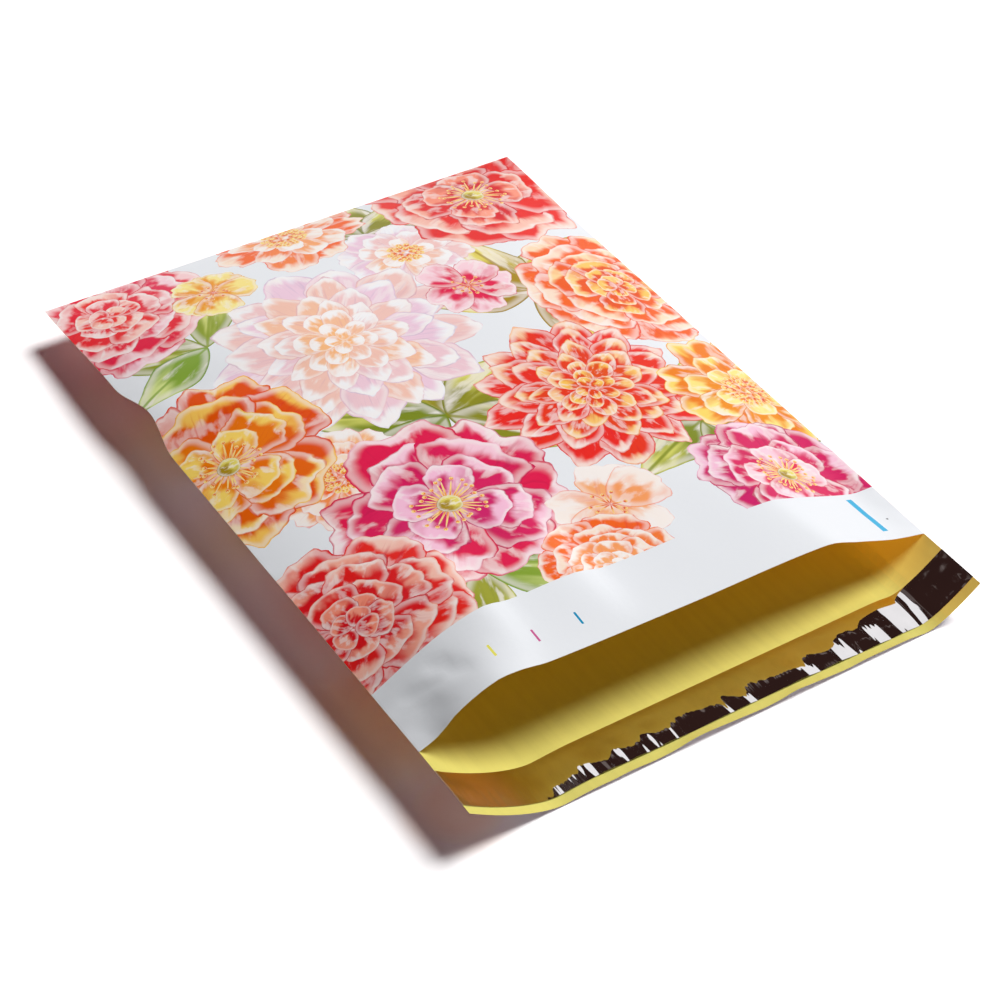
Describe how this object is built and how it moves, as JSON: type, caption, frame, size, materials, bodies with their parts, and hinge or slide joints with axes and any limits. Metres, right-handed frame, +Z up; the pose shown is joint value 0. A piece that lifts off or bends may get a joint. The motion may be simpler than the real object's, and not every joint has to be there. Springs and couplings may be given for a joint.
{
  "type": "poly mailer bag",
  "caption": "Flat plastic film mailing bag with welded sides, an open mouth and a fold-over flap that carries an adhesive band under a peel-off liner.",
  "frame": {"origin": "on the floor, under the middle of the bag's bounding box", "axes": "+Z up, out of the front panel; +Y from the flap and the mouth to the bottom fold; +X across the bag, to the right as seen from the mouth"},
  "size_m": [0.254, 0.364, 0.0432],
  "materials": {
    "printed_film": "satin polyethylene film, white with a floral print outside and yellow inside",
    "clear_adhesive": "tacky clear hot-melt adhesive",
    "metallised_liner": "mirror-bright metallised release film"
  },
  "bodies": {
    "root": {"bag_film": "printed_film", "adhesive_strip": "clear_adhesive", "release_liner": "metallised_liner"}
  },
  "joints": []
}
